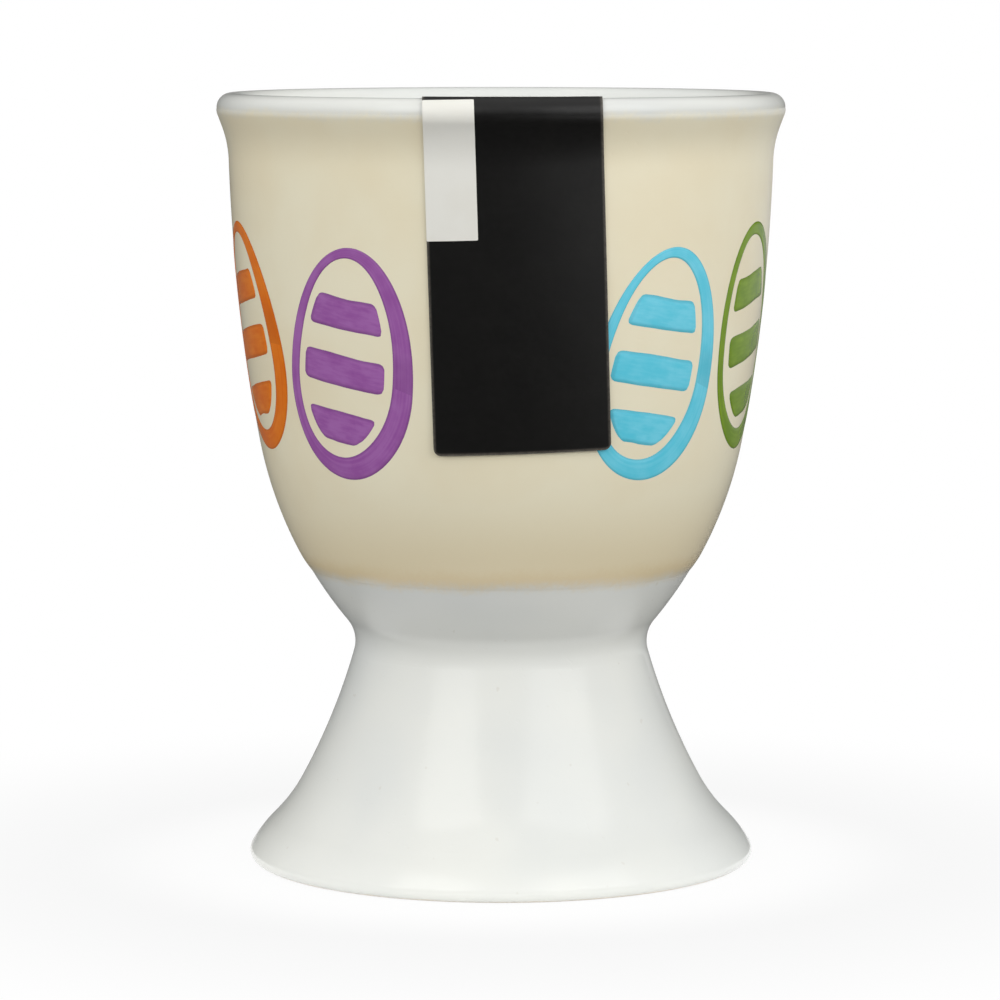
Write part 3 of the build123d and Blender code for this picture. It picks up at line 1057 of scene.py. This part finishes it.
def white_floor():
    """Pale floor that looks white to the camera and keeps the cup's soft shadow."""
    mesh = bpy.data.meshes.new("floor")
    signs = ((-1, -1), (1, -1), (1, 1), (-1, 1))
    corners = [(x * FLOOR_REACH, y * FLOOR_REACH, -FLOOR_DROP) for x, y in signs]
    mesh.from_pydata(corners, [], [(0, 1, 2, 3)])
    material, tree, shader, place = new_material("white studio floor")
    from_cup = radius_of(tree, place)
    near = ramp(tree, from_cup, 0.0235, 0.038, 1.0, 0.0)
    tone = mix(tree, near, (0.12, 0.12, 0.12, 1.0), (0.95, 0.95, 0.95, 1.0))
    tree.links.new(tone, shader.inputs["Base Color"])
    shader.inputs["Roughness"].default_value = 0.9
    shader.inputs["Specular IOR Level"].default_value = 0.1
    glow = add(tree, "ShaderNodeEmission", Color=(1, 1, 1, 1), Strength=1.0).outputs[0]
    path = tree.nodes.new("ShaderNodeLightPath").outputs
    seen = maths(tree, "MAXIMUM", path["Is Camera Ray"], path["Is Transmission Ray"])
    to_eye = maths(tree, "MULTIPLY", seen, ramp(tree, from_cup, 0.03, 0.075, 0.92, 1.0))
    axes = add(tree, "ShaderNodeSeparateXYZ", i0=place).outputs
    to_right = ramp(tree, axes["X"], 0.05, 0.28)
    card = maths(tree, "MULTIPLY", to_right, ramp(tree, axes["Y"], -0.15, 0.1, 1.0, 0.4))
    in_gloss = maths(tree, "MULTIPLY", path["Is Glossy Ray"], maths(tree, "MAXIMUM", near, card))
    share = maths(tree, "MAXIMUM", to_eye, in_gloss)
    mixed = add(tree, "ShaderNodeMixShader", i0=share, i1=shader.outputs[0], i2=glow)
    tree.links.new(mixed.outputs[0], tree.nodes["Material Output"].inputs["Surface"])
    mesh.materials.append(material)
    floor = new_object("floor", mesh)


def white_world():
    """Light tent: white to the camera, dark drapes behind for the reflections, and a soft fill."""
    world = bpy.data.worlds.new("studio")
    world.use_nodes = True
    tree = world.node_tree
    fill = tree.nodes["Background"]
    fill.inputs["Color"].default_value = (0.985, 0.985, 0.98, 1.0)
    white = add(tree, "ShaderNodeBackground", Color=(1, 1, 1, 1), Strength=1.0).outputs[0]
    direction = tree.nodes.new("ShaderNodeTexCoord").outputs["Generated"]
    axes = add(tree, "ShaderNodeSeparateXYZ", i0=direction).outputs
    behind = axes["Y"]
    skirting = ramp(tree, axes["Z"], 0.0, 0.22, 0.28, 1.0)
    walls = maths(tree, "MULTIPLY", skirting, ramp(tree, axes["Z"], 0.15, 0.55, 2.85, 0.43))
    front = ramp(tree, behind, -0.1, 0.9, 1.0, 0.55)
    sides = maths(tree, "MULTIPLY", front, ramp(tree, axes["X"], 0.3, 1.0, 1.0, 1.14))
    sideways = ramp(tree, maths(tree, "ABSOLUTE", axes["X"]), 0.35, 0.75, 0.0, 0.45)
    flanks = maths(tree, "MULTIPLY", sideways, ramp(tree, axes["Z"], 0.2, 0.5))
    tree.links.new(maths(tree, "MULTIPLY_ADD", walls, sides, flanks), fill.inputs["Strength"])
    drapes = ramp(tree, behind, 0.4, 0.8, 1.0, 0.25)
    ceiling = ramp(tree, axes["Z"], 0.1, 0.6, 0.12, 0.65)
    strength = maths(tree, "MULTIPLY", drapes, ceiling)
    tent = add(tree, "ShaderNodeBackground", Color=(1, 1, 1, 1), Strength=strength).outputs[0]
    path = tree.nodes.new("ShaderNodeLightPath").outputs
    glossy = path["Is Glossy Ray"]
    reflected = add(tree, "ShaderNodeMixShader", i0=glossy, i1=fill.outputs[0], i2=tent).outputs[0]
    seen = maths(tree, "MAXIMUM", path["Is Camera Ray"], path["Is Transmission Ray"])
    mixed = add(tree, "ShaderNodeMixShader", i0=seen, i1=reflected, i2=white)
    tree.links.new(mixed.outputs[0], tree.nodes["World Output"].inputs["Surface"])
    bpy.context.scene.world = world


def softbox(name, azimuth, elevation, distance, width, height, power):
    """Rectangular lamp that faces the cup."""
    lamp = bpy.data.lights.new(name, "AREA")
    lamp.shape = "RECTANGLE"
    lamp.size = width
    lamp.size_y = height
    lamp.energy = power
    obj = bpy.data.objects.new(name, lamp)
    aim = Vector((0, 0, RIM_HEIGHT / 2))
    across, up = radians(azimuth), radians(elevation)
    direction = Vector((sin(across) * cos(up), -cos(across) * cos(up), sin(up)))
    obj.location = aim + direction * distance
    obj.rotation_euler = direction.to_track_quat("Z", "Y").to_euler()
    bpy.context.scene.collection.objects.link(obj)


def photo_camera():
    """Camera at the photograph's place and angle."""
    lens = bpy.data.cameras.new("camera")
    lens.sensor_fit = "HORIZONTAL"
    lens.angle = CAMERA_FIELD
    lens.clip_start = 0.01
    lens.clip_end = 20.0
    lens.shift_x = CAMERA_SHIFT
    camera = bpy.data.objects.new("camera", lens)
    camera.location = CAMERA_PLACE
    camera.rotation_euler = (pi / 2 - CAMERA_PITCH, 0, 0)
    bpy.context.scene.collection.objects.link(camera)
    bpy.context.scene.camera = camera


build_cup()
white_floor()
white_world()
softbox("left softbox", azimuth=-36, elevation=35, distance=0.6, width=0.34, height=0.42, power=0.58)
softbox("right softbox", azimuth=45, elevation=35, distance=0.6, width=0.48, height=0.42, power=0.76)
softbox("overhead softbox", azimuth=0, elevation=80, distance=0.8, width=0.8, height=0.6, power=0.3)
photo_camera()
bpy.context.scene.view_settings.view_transform = "Standard"
